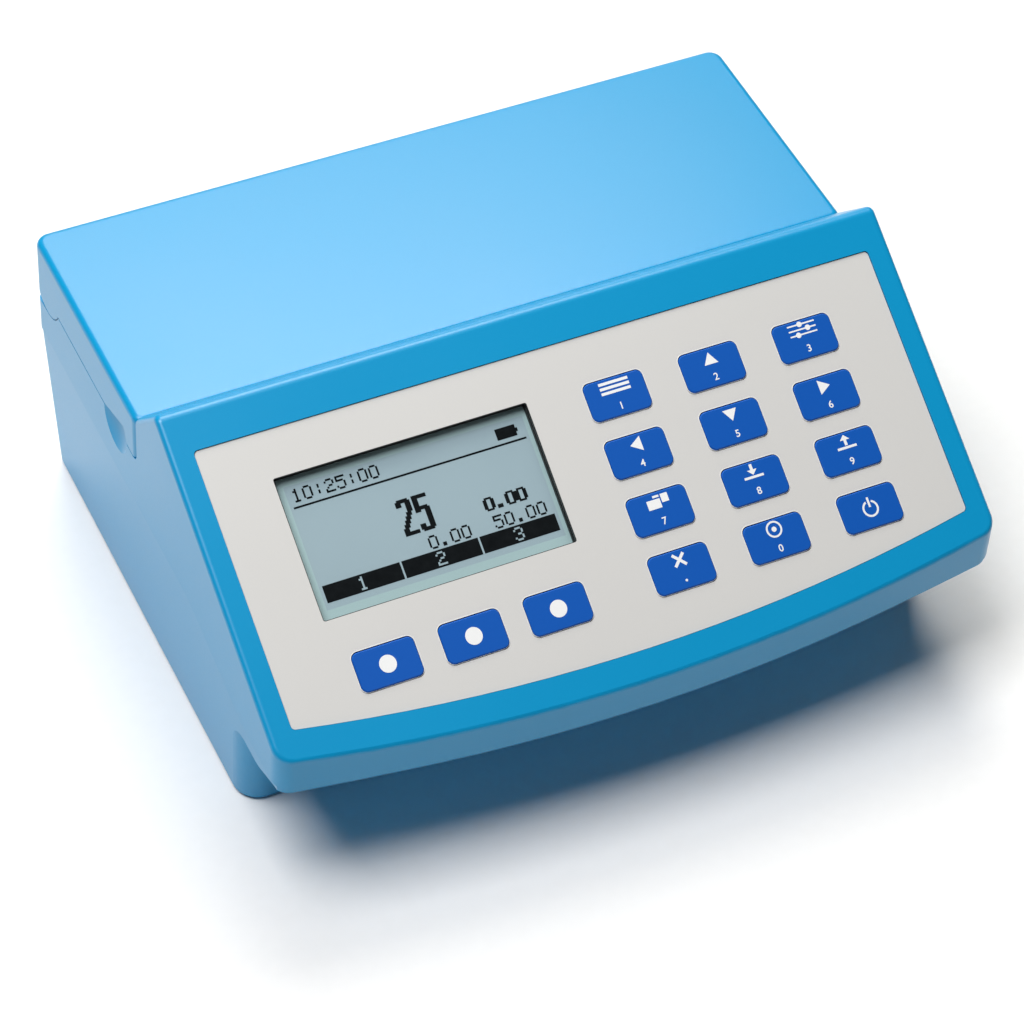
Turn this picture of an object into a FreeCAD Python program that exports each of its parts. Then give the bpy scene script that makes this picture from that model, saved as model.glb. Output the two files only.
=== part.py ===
import FreeCAD, Part
import math
import os

V = FreeCAD.Vector

# Overall sizes, in millimetres. Y grows to the back, Z upwards, and the feet stand on Z = 0.
width = 206.0
depth = 177.0
ridge_height = 97.0
wall = 2.5
housing_gap = 0.2
moving_gap = 0.3
fit_gap = 0.05

# Control panel: it falls to the front from the rounded ridge.
panel_tilt = math.radians(30.4)
ridge_y = -0.8
ridge_round = 2.5
ridge_back_tilt = math.radians(46.0)
panel_edge_round = 1.5
front_bow_radius = 656.0
front_wall_height = 10.3
front_corner_round = 5.0
rear_corner_round = 4.0
label_recess = 1.4
label_thickness = 1.0
panel_wall = 2.0

# Lid and the deck under it.
lid_top = 82.2
lid_behind_ridge = 14.3
lid_wall = 2.4
lid_edge_round = 1.8
lid_corner_round = 2.6
lid_rest_gap = 0.4
rim_level = 67.1
deck_level = 70.5
ear_radius = 9.3
lid_open_angle = 95.0
hinge_drop = 10.7
hinge_pin_radius = 2.0
hinge_pin_length = 13.6
hinge_pin_cover = 1.4
hinge_bore_end = 0.2
knuckle_radius = 5.0
knuckle_length = 10.0
scoop_radius = 16.0
scoop_depth = 2.2
scoop_behind_lid_front = 15.0
lid_notch_length = 16.0
lid_notch_rise = 4.6
lid_notch_lead = 1.6
lid_notch_round = 1.2
lid_rib_x = 62.0
lid_rib_thickness = 1.6
lid_rib_height = 4.0
lid_rib_setback = 8.0

# Parting line between the two housings: level at the back, then down to the front wall.
parting_drop = 46.5
upper_knee_setback = 66.5
lower_knee_setback = 28.5
lower_knee_drop = 11.0
knee_radius = 40.0
front_break_round = 8.0

# Lower housing.
floor_level = 1.2
tub_top_inset = 0.4
side_draft = 2.0
rear_draft = 4.6
tub_foot_setback = 36.0
tub_top_setback = 31.0
tub_front_round = 7.0
tub_rear_round = 3.0
chin_lip = 0.6
chin_drop = 7.2
chin_low_setback = 23.5
chin_back_setback = 41.2
chin_back_round = 10.0
chin_round = 12.0
tongue_thickness = 1.2
tongue_height = 2.0
rib_x = 36.0
rib_thickness = 1.6
rib_height = 3.0

# Keys, measured along the panel: across, and down from the ridge.
key_width = 17.0
key_height = 10.5
key_round = 1.8
key_edge = 0.3
key_proud = 0.5
key_travel = 0.4
key_flange = 1.2
key_flange_thickness = 1.0
key_play = 0.3
first_row = 27.4
row_pitch = 16.05
row_count = 4
first_column = 15.3
column_pitch = 27.65
column_count = 3
soft_first = -67.5
soft_pitch = 23.7
soft_count = 3

# Label plate and display.
label_half_width = 96.4
label_top = 9.5
label_front_margin = 8.11
label_bow_radius = 558.0
label_corner_round = 1.2
label_fit = 0.15
view_left = -79.4
view_top = 21.9
view_width = 70.5
view_height = 38.5
window_rim = 1.6
window_corner = 0.6
window_thickness = 0.95
glass_margin = 4.0
light_margin = 3.0
glass_thickness = 1.8
backlight_thickness = 2.4
frame_wall = 1.2

# Keypad board.
board_thickness = 1.6
board_depth = 8.4
board_left = -86.5
board_right = 83.0
board_top = 16.5
board_bottom = 84.5
board_corner = 2.0
dome_radius = 3.0
dome_height = 0.6
panel_boss_radius = 3.0
board_screw_radius = 1.0
board_screw_head = 1.9
board_screw_head_height = 1.2
board_screw_length = 6.0
screw_end_room = 1.2
ribbon_width = 24.0
ribbon_thickness = 0.4
ribbon_x = -30.0
ribbon_start = 6.0
ribbon_stand = 12.0
ribbon_first_bend = 4.0
ribbon_second_bend = 6.0
header_end = 2.0
header_depth = 4.0
header_height = 3.0
header_down = 46.0
header_from_board_centre = 6.0

# Cuvette well and optics.
well_behind_lid_front = 32.5
cuvette_radius = 12.3
cuvette_clearance = 0.15
holder_wall = 2.4
holder_flange_radius = 19.0
holder_flange_thickness = 1.6
holder_floor = 14.0
holder_base = 2.0
mouth_chamfer = 1.2
flange_chamfer = 0.6
index_notch = 2.0
index_notch_depth = 0.6
index_notch_end = 2.6
light_height = 30.0
light_port_radius = 2.5
block_half_x = 35.0
block_half_y = 19.0
block_foot = 8.0
block_top = 48.0
block_flange_side = 6.0
block_flange_end = 2.0
block_flange_thickness = 3.0
channel_size = 14.0
lamp_room = (7.0, 31.0, 9.0)
emitter_radius = 1.5
emitter_length = 3.2
emitter_count = 5
emitter_pitch = 5.6
filter_size = 4.6
filter_thickness = 1.0
filter_view_radius = 1.6
filter_lip = 0.3
filter_setback = 1.6
lens_distance = 26.5
splitter_distance = 19.0
lens_sagitta = 1.6
lens_rim = 1.0
splitter_width = 9.0
splitter_thickness = 1.0
detector_radius = 4.2
detector_length = 3.0
detector_gap = 1.0

# Lid light trap.
trap_radius = 28.5
trap_wall = 3.0
seal_height = 3.2

# Boards, battery and sockets in the lower housing.
main_board_size = (112.0, 46.0)
main_board_x = -28.0
main_board_behind_tub_front = 30.5
main_board_level = 9.0
board_hole_margin = 4.0
processor_place = (19.0, 5.0)
processor_size = 14.0
chip_height = 2.4
small_chip_first = -41.5
small_chip_y = 10.0
small_chip_pitch = 8.0
small_chip_size = (5.0, 4.0, 1.2)
small_chip_count = 4
capacitor_first = 16.0
capacitor_y = -12.0
capacitor_pitch = 9.0
capacitor_radius = 2.5
capacitor_height = 6.0
capacitor_count = 3
beeper_place = (40.0, 8.0)
beeper_radius = 6.0
beeper_height = 5.5
beeper_mouth_radius = 1.0
beeper_mouth_depth = 1.5
cell_radius = 9.2
cell_length = 66.0
cell_web_share = 0.8
battery_x = 63.5
battery_from_rear = 48.5
cradle_wall = 1.4
cradle_end = 12.0
cradle_side_drop = 3.0
cradle_end_rise = 2.0
socket_board_level = 18.0
socket_board_size = (46.0, 26.0)
socket_board_x = -61.0
socket_board_from_rear = 8.5
socket_post_margin = 6.0
socket_setback = 0.3
usb_size = (13.1, 14.0, 5.7)
usb_sheet = 0.4
usb_tongue = (10.4, 0.9, 1.8)
usb_x = -76.0
micro_size = (7.5, 5.6, 2.7)
micro_sheet = 0.35
micro_tongue = (3.8, 1.2, 0.6)
micro_x = -60.0
tongue_setback = 1.0
tongue_root = 0.5
jack_size = (6.2, 12.0, 6.2)
jack_x = -46.0
jack_nose_radius = 3.0
jack_nose_length = 3.8
jack_bore_radius = 1.8
jack_bore_length = 11.0
plate_margin = 4.0
plate_corner_round = 2.0
plate_gap = 0.1
plate_flange_width = 2.0
plate_flange_thickness = 1.1
post_radius = 2.6
foot_radius = 6.5
foot_thickness = 2.2
foot_chamfer = 0.5
foot_x = 86.0
foot_from_tub_front = 14.5
foot_from_rear = 16.5
screw_post_radius = 5.0
screw_well_radius = 3.2
screw_seat_drop = 14.5
screw_radius = 1.5
screw_head_radius = 2.8
screw_head_height = 2.0
screw_length = 20.0
screw_x = 92.0
screw_from_front = 62.5
screw_from_rear = 26.5

# Places that follow from the sizes above.
half = width / 2
front = -depth / 2
rear = depth / 2
panel_cos = math.cos(panel_tilt)
panel_sin = math.sin(panel_tilt)
ridge_centre_z = ridge_height - ridge_round
panel_y = ridge_y - ridge_round * panel_sin
panel_z = ridge_centre_z + ridge_round * panel_cos
panel_length = (panel_y - front) / panel_cos
label_bottom = panel_length - label_front_margin
lid_front = ridge_y + lid_behind_ridge
scoop_y = lid_front + scoop_behind_lid_front
well_y = lid_front + well_behind_lid_front
parting_level = ridge_height - parting_drop
upper_knee_y = front + upper_knee_setback
lower_knee_y = front + lower_knee_setback
tub_front_top = front + tub_top_setback
tub_front_foot = front + tub_foot_setback
foot_front = tub_front_foot + foot_from_tub_front
foot_rear = rear - foot_from_rear
screw_front = front + screw_from_front
screw_rear = rear - screw_from_rear
screw_seat = parting_level - screw_seat_drop
main_board_centre = (main_board_x, tub_front_foot + main_board_behind_tub_front)
battery_y = rear - battery_from_rear
socket_board_back = rear - socket_board_from_rear
hinge_y = rear - ear_radius
hinge_z = lid_top - hinge_drop
cuvette_bore = cuvette_radius + cuvette_clearance
holder_radius = cuvette_bore + holder_wall
front_bow = front_bow_radius - math.sqrt(front_bow_radius ** 2 - half ** 2)
bow_end_y = front + front_bow
knee_level = parting_level - lower_knee_drop
reach = depth


def side(a, b):
    return V(0, a, b)


def plan(a, b):
    return V(a, b, 0)


def on_panel(across, down, lift=0.0):
    """Point of the control panel, down from the ridge and lifted off its face."""
    return V(across,
             panel_y - down * panel_cos - lift * panel_sin,
             panel_z - down * panel_sin + lift * panel_cos)


def panel_at(y):
    """Height of the panel face above the table at a place Y."""
    return panel_z + (y - panel_y) * math.tan(panel_tilt)


outward = V(0, -panel_sin, panel_cos)


def outline(corners, place):
    """Closed wire through corners (a, b, radius), each rounded by an arc."""
    turns = []
    count = len(corners)
    for i, (a, b, radius) in enumerate(corners):
        here = V(a, b, 0)
        back = (V(corners[i - 1][0], corners[i - 1][1], 0) - here).normalize()
        onward = (V(corners[(i + 1) % count][0], corners[(i + 1) % count][1], 0) - here).normalize()
        angle = math.acos(max(-1.0, min(1.0, back.dot(onward)))) / 2
        reach_back = radius / math.tan(angle)
        bisector = (back + onward).normalize() if radius else V(0, 0, 0)
        middle = here + bisector * (radius / math.sin(angle) - radius)
        turns.append((here + back * reach_back, middle, here + onward * reach_back))
    edges = []
    for i in range(count):
        start, middle, stop = [place(p.x, p.y) for p in turns[i]]
        after = turns[(i + 1) % count][0]
        if corners[i][2]:
            edges.append(Part.Arc(start, middle, stop).toShape())
        onward = place(after.x, after.y)
        if (onward - stop).Length > 1e-6:
            edges.append(Part.LineSegment(stop, onward).toShape())
    return Part.Wire(edges)


def prism(corners, place, push, start=V(0, 0, 0)):
    solid = Part.Face(outline(corners, place)).extrude(push)
    solid.translate(start)
    return solid


def across(corners, half_width=half + 20):
    """Solid with this side view, as wide as asked, centred on the middle plane."""
    return prism(corners, side, V(2 * half_width, 0, 0), V(-half_width, 0, 0))


def box(x0, x1, y0, y1, z0, z1):
    return Part.makeBox(x1 - x0, y1 - y0, z1 - z0, V(x0, y0, z0))


def rod(radius, start, stop):
    axis = stop - start
    return Part.makeCylinder(radius, axis.Length, start, axis)


def fuse(shapes):
    whole = shapes[0].multiFuse(shapes[1:]) if len(shapes) > 1 else shapes[0]
    return whole.removeSplitter()


def round_near(solid, points, radius, direction):
    """Round the straight edges that run along direction through these points."""
    chosen = []
    for edge in solid.Edges:
        if edge.Curve.TypeId != "Part::GeomLine":
            continue
        if edge.tangentAt(edge.FirstParameter).cross(direction).Length > 1e-6:
            continue
        ends = [v.Point for v in edge.Vertexes]
        if any((end - point).Length < 1e-3 for end in ends for point in points):
            chosen.append(edge)
    return solid.makeFillet(radius, chosen)


def bowed(half_width, near, bow, far, near_round, far_round, place, push):
    """Plate with one bowed side: the bow bulges to near, its ends stand back by bow."""
    low = place(-half_width, near + bow)
    middle = place(0, near)
    high = place(half_width, near + bow)
    far_high = place(half_width, far)
    far_low = place(-half_width, far)
    edges = [Part.Arc(low, middle, high).toShape(),
             Part.LineSegment(high, far_high).toShape(),
             Part.LineSegment(far_high, far_low).toShape(),
             Part.LineSegment(far_low, low).toShape()]
    solid = Part.Face(Part.Wire(edges)).extrude(push)
    along = V(push).normalize()
    solid = round_near(solid, [low, high], near_round, along)
    return round_near(solid, [far_high, far_low], far_round, along)


def housing_plan(inset, low, high):
    """The housing seen from above, stepped in by inset."""
    solid = bowed(half - inset, front + inset, front_bow, rear - inset,
                  front_corner_round - min(inset, front_corner_round - 1),
                  rear_corner_round - min(inset, rear_corner_round - 1),
                  plan, V(0, 0, high - low))
    solid.translate(V(0, 0, low))
    return solid


def parting_height(y):
    """Height of the straight stretches of the parting line."""
    front_level = panel_at(front) - front_wall_height
    if y >= upper_knee_y:
        return parting_level
    if y >= lower_knee_y:
        return parting_level - lower_knee_drop * (upper_knee_y - y) / (upper_knee_y - lower_knee_y)
    if y >= bow_end_y:
        return knee_level
    return knee_level - (knee_level - front_level) * (bow_end_y - y) / front_bow


def below_parting(lift):
    """Everything under the parting line, shifted up by lift."""
    return across([(-reach, -reach, 0), (reach, -reach, 0),
                   (reach, parting_level + lift, 0),
                   (upper_knee_y, parting_level + lift, knee_radius),
                   (lower_knee_y, knee_level + lift, knee_radius),
                   (bow_end_y, knee_level + lift, front_break_round),
                   (-reach, parting_height(-reach) + lift, 0)])


def chin_room(grow):
    """Everything above the underside of the overhang, with that line moved in by grow."""
    low = knee_level - chin_drop + grow
    back = front + chin_back_setback + grow
    foot = low - chin_back_round - grow - 1
    return across([(-reach, reach, 0), (-reach, parting_height(-reach) - chin_lip + grow, 0),
                   (bow_end_y, knee_level - chin_lip + grow, chin_round),
                   (front + chin_low_setback, low, chin_round),
                   (back, low, chin_back_round + grow), (back, foot, 0),
                   (back + 10, foot, 0), (back + 10, reach, 0)])


def rounded_pad(across_at, down_at, size_a, size_b, radius, low, high):
    """Rectangular pad on the panel between two lifts, with round corners."""
    a0, a1 = across_at - size_a / 2, across_at + size_a / 2
    b0, b1 = down_at - size_b / 2, down_at + size_b / 2
    corners = [(a0, b0, radius), (a1, b0, radius), (a1, b1, radius), (a0, b1, radius)]
    wire = outline(corners, lambda a, b: on_panel(a, b, low))
    return Part.Face(wire).extrude(outward * (high - low))


def key_places():
    """Name and place of every key: the keypad row by row, then the soft keys."""
    places = []
    for row in range(row_count):
        for column in range(column_count):
            name = "key_r%d_c%d" % (row + 1, column + 1)
            places.append((name, first_column + column * column_pitch, first_row + row * row_pitch))
    for i in range(soft_count):
        name = "soft_key_%d" % (i + 1)
        places.append((name, soft_first + i * soft_pitch, first_row + (row_count - 1) * row_pitch))
    return places


view_centre = (view_left + view_width / 2, view_top + view_height / 2)
under_wall = -(label_recess + panel_wall)


def view_pad(margin, radius, low, high):
    """Pad round the display view, larger than it by margin on each side."""
    return rounded_pad(view_centre[0], view_centre[1], view_width + 2 * margin,
                       view_height + 2 * margin, radius, low, high)


def hinge_place(angle, radius):
    """Point of the side view at an angle and distance from the hinge axis."""
    turn = math.radians(angle)
    return V(0, hinge_y + radius * math.cos(turn), hinge_z + radius * math.sin(turn))


def hinge_rod(radius, x0, x1):
    return rod(radius, V(x0, hinge_y, hinge_z), V(x1, hinge_y, hinge_z))


def mirrored(shape):
    """The shape with its copy on the other side of the middle plane."""
    return [shape, shape.mirror(V(0, 0, 0), V(1, 0, 0))]


pocket_radius = ear_radius + moving_gap
nose_radius = ear_radius - lid_wall - moving_gap
deck_half = half - lid_wall - moving_gap
knuckle_outer = deck_half - knuckle_length / 2
knuckle_inner = knuckle_outer - knuckle_length
lid_low = rim_level + lid_rest_gap
lid_ceiling = lid_top - lid_wall
open_turn = -lid_open_angle


def ridge_corner(panel_lift, back_inset):
    """Where the panel plane and the ridge's back plane meet, each moved as asked."""
    from_centre = ridge_round + panel_lift, ridge_round - back_inset
    turn = math.sin(panel_tilt + ridge_back_tilt)
    y = (math.cos(panel_tilt) * from_centre[1] - math.cos(ridge_back_tilt) * from_centre[0]) / turn
    z = (math.sin(ridge_back_tilt) * from_centre[0] + math.sin(panel_tilt) * from_centre[1]) / turn
    return V(0, ridge_y + y, ridge_centre_z + z)


def upper_block(inset, rim, pocket, panel_lift, back_inset, ridge_radius, corner_radius):
    """Solid of the upper housing's outline or of its hollow, down past the parting line."""
    start = on_panel(0, reach, panel_lift)
    apex = ridge_corner(panel_lift, back_inset)
    wall_y = lid_front - moving_gap - back_inset
    foot_z = apex.z - (wall_y - apex.y) * math.tan(ridge_back_tilt)
    meet = math.sqrt(pocket ** 2 - (hinge_z - rim) ** 2)
    rim_end = V(0, hinge_y - meet, rim)
    low = hinge_place(open_turn, pocket)
    first = math.degrees(math.atan2(rim - hinge_z, -meet)) % 360 - 360
    middle = hinge_place((first + open_turn) / 2, pocket)
    slope = math.tan(math.radians(lid_open_angle - 90))
    back = V(0, reach, low.z - (reach - low.y) * slope)
    main = across([(start.y, -reach, 0), (start.y, start.z, 0), (apex.y, apex.z, ridge_radius),
                   (wall_y, foot_z, 0), (wall_y, rim, corner_radius), (rim_end.y, rim, 0),
                   (rim_end.y, -reach, 0)])
    floor_back = V(0, reach, -reach)
    floor_front = V(0, rim_end.y, -reach)
    tail_edges = [Part.LineSegment(floor_front, rim_end).toShape(),
                  Part.Arc(rim_end, middle, low).toShape(),
                  Part.LineSegment(low, back).toShape(),
                  Part.LineSegment(back, floor_back).toShape(),
                  Part.LineSegment(floor_back, floor_front).toShape()]
    tail = Part.Face(Part.Wire(tail_edges)).extrude(V(2 * reach, 0, 0))
    tail.translate(V(-reach, 0, 0))
    seen = housing_plan(inset, 0, ridge_height + 5)
    return seen.common(main.fuse(tail)).removeSplitter()


def hinge_sector(from_angle, to_angle):
    """Wedge of the side view between two angles about the hinge axis."""
    steps = 4
    corners = [(hinge_y, hinge_z, 0)]
    for i in range(steps + 1):
        place = hinge_place(from_angle + (to_angle - from_angle) * i / steps, lid_top)
        corners.append((place.y, place.z, 0))
    return across(corners)


def make_deck():
    """Raised deck under the lid, with the rounded nose that the lid turns round."""
    deck_front = lid_front + lid_wall + moving_gap
    solid = box(-deck_half, deck_half, deck_front, hinge_y, rim_level - wall - 0.5, deck_level)
    nose = hinge_rod(nose_radius, -deck_half, deck_half)
    nose = nose.common(box(-half, half, 0, rear, 0, deck_level))
    return solid.fuse(nose)


def make_deck_hollow():
    inner = deck_half - wall
    deck_front = lid_front + lid_wall + moving_gap + wall
    deck_rear = hinge_y - pocket_radius - wall / 2
    return box(-inner, inner, deck_front, deck_rear, rim_level - 2 * wall, deck_level - wall)


def make_channel():
    """Room round the nose for the lid's rear wall as it swings down behind."""
    ring = hinge_rod(pocket_radius, -half, half).cut(hinge_rod(nose_radius, -half, half))
    return ring.common(hinge_sector(open_turn - 3, 90))


def screw_places():
    return [(x, y) for x in (-screw_x, screw_x) for y in (screw_front, screw_rear)]


def panel_boss_places():
    between = first_column + column_pitch / 2
    frame_edge = view_left + view_width + glass_margin + frame_wall
    beside = (frame_edge + first_column - key_width / 2 - key_flange) / 2
    last_row = first_row + (row_count - 1) * row_pitch
    return [(between, first_row), (between + column_pitch, first_row), (between, last_row),
            (between + column_pitch, last_row), (beside, view_centre[1]),
            (soft_first - key_width / 2 - key_flange - panel_boss_radius - 1, last_row)]


def make_scoop(radius):
    x = half + scoop_radius - scoop_depth
    return Part.makeSphere(radius, V(x, scoop_y, rim_level))


def make_upper_housing():
    """Panel bezel, ridge, deck and side walls in one moulding."""
    outer = upper_block(0, rim_level, pocket_radius, 0, 0, ridge_round, lid_corner_round + moving_gap)
    outer = outer.cut(below_parting(housing_gap))
    face_edges = []
    for edge in outer.Edges:
        middle = edge.valueAt((edge.FirstParameter + edge.LastParameter) / 2)
        on_face = abs((middle - on_panel(0, 0)).dot(outward)) < 1e-4
        if on_face and edge.BoundBox.YMin < panel_y - 0.5:
            face_edges.append(edge)
    outer = outer.makeFillet(panel_edge_round, face_edges)
    hollow = upper_block(wall, rim_level - wall, pocket_radius + wall, under_wall, wall, 0, 0)
    deck = make_deck()
    removed = [make_deck_hollow(), make_channel()]
    removed += mirrored(hinge_rod(pocket_radius, knuckle_outer, half + 1))
    body = outer.cut(hollow).fuse(deck).cut(Part.makeCompound(removed))
    added = mirrored(hinge_rod(knuckle_radius, knuckle_inner, knuckle_outer))
    filled = outer.fuse(deck)
    for x, y in screw_places():
        added.append(rod(screw_post_radius, V(x, y, 0), V(x, y, ridge_height)).common(filled))
    side_wall = box(-half, half, 0, rear, parting_level + wall, rim_level)
    for scoop in mirrored(make_scoop(scoop_radius + wall)):
        added.append(scoop.common(outer).common(side_wall))
    body = body.multiFuse(added).cut(Part.makeCompound(mirrored(make_scoop(scoop_radius))))
    cuts = mirrored(hinge_rod(hinge_pin_radius, knuckle_inner - 1, half - wall))
    cuts.append(rod(holder_radius + fit_gap, V(0, well_y, 0), V(0, well_y, ridge_height)))
    label_room = label_plate(label_fit, -label_recess, 5)
    cuts.append(label_room)
    cuts.append(view_pad(window_rim, window_corner, -label_recess - window_thickness - fit_gap, 0))
    cuts.append(view_pad(0, window_corner, -board_depth, 0))
    for name, a, b in key_places():
        cuts.append(rounded_pad(a, b, key_width + 2 * key_play, key_height + 2 * key_play,
                                key_round + key_play, -board_depth, 0))
    for x, y in screw_places():
        start = parting_height(y) - 5
        cuts.append(rod(screw_radius, V(x, y, start), V(x, y, screw_seat + screw_length + 1)))
    body = body.cut(Part.makeCompound(cuts))
    bosses = []
    pilots = []
    for a, b in panel_boss_places():
        bosses.append(rod(panel_boss_radius, on_panel(a, b, under_wall + 0.2), on_panel(a, b, -board_depth)))
        pilots.append(rod(board_screw_radius, on_panel(a, b, under_wall - screw_end_room / 2),
                          on_panel(a, b, -2 * board_depth)))
    return fuse([body] + bosses).cut(Part.makeCompound(pilots))


def label_plate(margin, low, high):
    """Outline of the label plate, grown by margin, between two lifts."""
    half_width = label_half_width + margin
    bow = label_bow_radius - math.sqrt(label_bow_radius ** 2 - half_width ** 2)
    return bowed(half_width, label_bottom + margin, -bow, label_top - margin,
                 label_corner_round, label_corner_round,
                 lambda a, b: on_panel(a, b, low), outward * (high - low))


def make_label():
    plate = label_plate(0, -label_recess, -label_recess + label_thickness)
    cuts = [view_pad(0, window_corner, -wall, wall)]
    for name, a, b in key_places():
        cuts.append(rounded_pad(a, b, key_width + 2 * key_play, key_height + 2 * key_play,
                                key_round + key_play, -wall, wall))
    return plate.cut(Part.makeCompound(cuts))


def make_key(a, b):
    """Key cap with a flange behind the panel and a stem over its dome."""
    face = -label_recess + label_thickness + key_proud
    flange_top = under_wall - moving_gap / 2
    flange_low = flange_top - key_flange_thickness
    stem_low = -board_depth + dome_height + key_travel + moving_gap / 3
    cap = rounded_pad(a, b, key_width, key_height, key_round, flange_low, face)
    rim = [e for e in cap.Edges
           if all(abs((v.Point - on_panel(a, b, face)).dot(outward)) < 1e-6 for v in e.Vertexes)]
    cap = cap.makeChamfer(key_edge, rim)
    flange = rounded_pad(a, b, key_width + 2 * key_flange, key_height + 2 * key_flange, key_round,
                         flange_low, flange_top)
    stem = rod(dome_radius, on_panel(a, b, stem_low), on_panel(a, b, flange_low + 0.1))
    return fuse([cap, flange, stem])


def make_window():
    return view_pad(window_rim - fit_gap, window_corner, -label_recess - window_thickness, -label_recess)


glass_top = under_wall - fit_gap
glass_low = glass_top - glass_thickness
light_low = glass_low - backlight_thickness


def make_glass():
    return view_pad(glass_margin, window_corner, glass_low, glass_top)


def make_backlight():
    return view_pad(light_margin, window_corner, light_low, glass_low)


def make_display_frame():
    outer = view_pad(glass_margin + fit_gap + frame_wall, window_corner + frame_wall, -board_depth,
                     under_wall - fit_gap)
    seat = view_pad(glass_margin + fit_gap, window_corner, glass_low, 0)
    light = view_pad(light_margin + fit_gap, window_corner, -board_depth + frame_wall / 2, 0)
    return outer.cut(seat.fuse(light))


def make_keypad_board():
    middle = (board_left + board_right) / 2, (board_top + board_bottom) / 2
    low = -board_depth - board_thickness
    board = rounded_pad(middle[0], middle[1], board_right - board_left, board_bottom - board_top,
                        board_corner, low, -board_depth)
    holes = [rod(board_screw_radius, on_panel(a, b, low - 1), on_panel(a, b, 0))
             for a, b in panel_boss_places()]
    return board.cut(Part.makeCompound(holes))


def make_domes():
    domes = []
    for name, a, b in key_places():
        base = on_panel(a, b, -board_depth)
        domes.append(Part.makeCone(dome_radius + dome_height, dome_radius - dome_height, dome_height,
                                   base, outward))
    return Part.makeCompound(domes)


def make_screw(seat, direction, length, shank, head, head_height):
    """Pan head screw: direction runs from the seat along the shank."""
    stop = seat + direction * length
    top = seat - direction * head_height
    slot = head / 3
    solid = rod(shank, seat, stop).fuse(rod(head, seat, top)).removeSplitter()
    recess = rod(slot, top, seat - direction * (head_height / 2))
    return solid.cut(recess)


def make_board_screw(seat, direction, length):
    return make_screw(seat, direction, length, board_screw_radius, board_screw_head,
                      board_screw_head_height)


def make_keypad_screws():
    seat_lift = -board_depth - board_thickness
    length = board_thickness + board_depth + under_wall - screw_end_room
    return Part.makeCompound([make_board_screw(on_panel(a, b, seat_lift), outward, length)
                              for a, b in panel_boss_places()])


def make_lid():
    """Shallow tray with skirts, two deep ears and a light trap round the well."""
    shell = prism([(-half, lid_front, lid_corner_round), (half, lid_front, lid_corner_round),
                   (half, rear, rear_corner_round), (-half, rear, rear_corner_round)],
                  plan, V(0, 0, reach), V(0, 0, lid_top - reach))
    top_edges = [e for e in shell.Edges if all(abs(v.Z - lid_top) < 1e-6 for v in e.Vertexes)]
    shell = shell.makeFillet(lid_edge_round, top_edges)
    meet = math.sqrt(ear_radius ** 2 - (hinge_z - lid_low) ** 2)
    skirt = across([(lid_front, reach, 0), (lid_front, lid_low, lid_corner_round),
                    (hinge_y - meet, lid_low, 0), (hinge_y, hinge_z, 0), (reach, hinge_z, 0),
                    (reach, reach, 0)])
    ear = hinge_rod(ear_radius, -half - 1, half + 1)
    shell = shell.common(skirt.fuse(ear))
    inner = half - lid_wall
    hollow = box(-inner, inner, lid_front + lid_wall, rear - lid_wall, 0, lid_ceiling)
    below_axis = box(-inner, inner, hinge_y - meet, rear + 1, 0, hinge_z)
    shell = shell.cut(hollow.fuse(below_axis))
    ear_boss = hinge_rod(knuckle_radius, knuckle_outer + moving_gap, inner + lid_wall / 2)
    trap_low = deck_level + moving_gap + seal_height
    collar = rod(trap_radius, V(0, well_y, trap_low), V(0, well_y, lid_ceiling))
    collar = collar.cut(rod(trap_radius - trap_wall, V(0, well_y, 0), V(0, well_y, lid_ceiling)))
    added = mirrored(ear_boss) + [collar]
    rib = box(lid_rib_x - lid_rib_thickness / 2, lid_rib_x + lid_rib_thickness / 2, lid_front + lid_wall,
              rear - lid_wall - lid_rib_setback, lid_ceiling - lid_rib_height, lid_ceiling)
    lid = fuse([shell] + added + mirrored(rib))
    bores = mirrored(hinge_rod(hinge_pin_radius + fit_gap, knuckle_outer,
                               half - hinge_pin_cover + hinge_bore_end))
    notch_front = scoop_y - lid_notch_length / 2
    notch = prism([(notch_front, lid_low - 1, 0), (notch_front, lid_low, 0),
                   (notch_front + lid_notch_lead, lid_low + lid_notch_rise, lid_notch_round),
                   (notch_front + lid_notch_length, lid_low, 0),
                   (notch_front + lid_notch_length, lid_low - 1, 0)],
                  side, V(half + 2 - inner, 0, 0), V(inner - 1, 0, 0))
    return lid.cut(Part.makeCompound(bores + mirrored(notch)))


def make_lid_seal():
    low = deck_level + moving_gap
    ring = rod(trap_radius, V(0, well_y, low), V(0, well_y, low + seal_height))
    return ring.cut(rod(trap_radius - trap_wall, V(0, well_y, 0), V(0, well_y, reach)))


def make_hinge_pins():
    stop = half - hinge_pin_cover
    return Part.makeCompound(mirrored(hinge_rod(hinge_pin_radius, stop - hinge_pin_length, stop)))


def tub_section(level, inset, forward=0):
    """Outline of the lower housing at a height, stepped in by inset, drawn forward on request."""
    rise = (level - floor_level) / (parting_level - floor_level)
    x = half - tub_top_inset - side_draft * (1 - rise) - inset
    back = rear - tub_top_inset - rear_draft * (1 - rise) - inset
    near = tub_front_foot + (tub_front_top - tub_front_foot) * rise + inset - forward
    front_round, rear_round = tub_front_round - inset, tub_rear_round - inset
    wire = outline([(-x, near, front_round), (x, near, front_round), (x, back, rear_round),
                    (-x, back, rear_round)], plan)
    wire.translate(V(0, 0, level))
    return wire


def tub_loft(low, high, inset, forward=0):
    return Part.makeLoft([tub_section(low, inset, forward), tub_section(high, inset, forward)], True, True)


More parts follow.
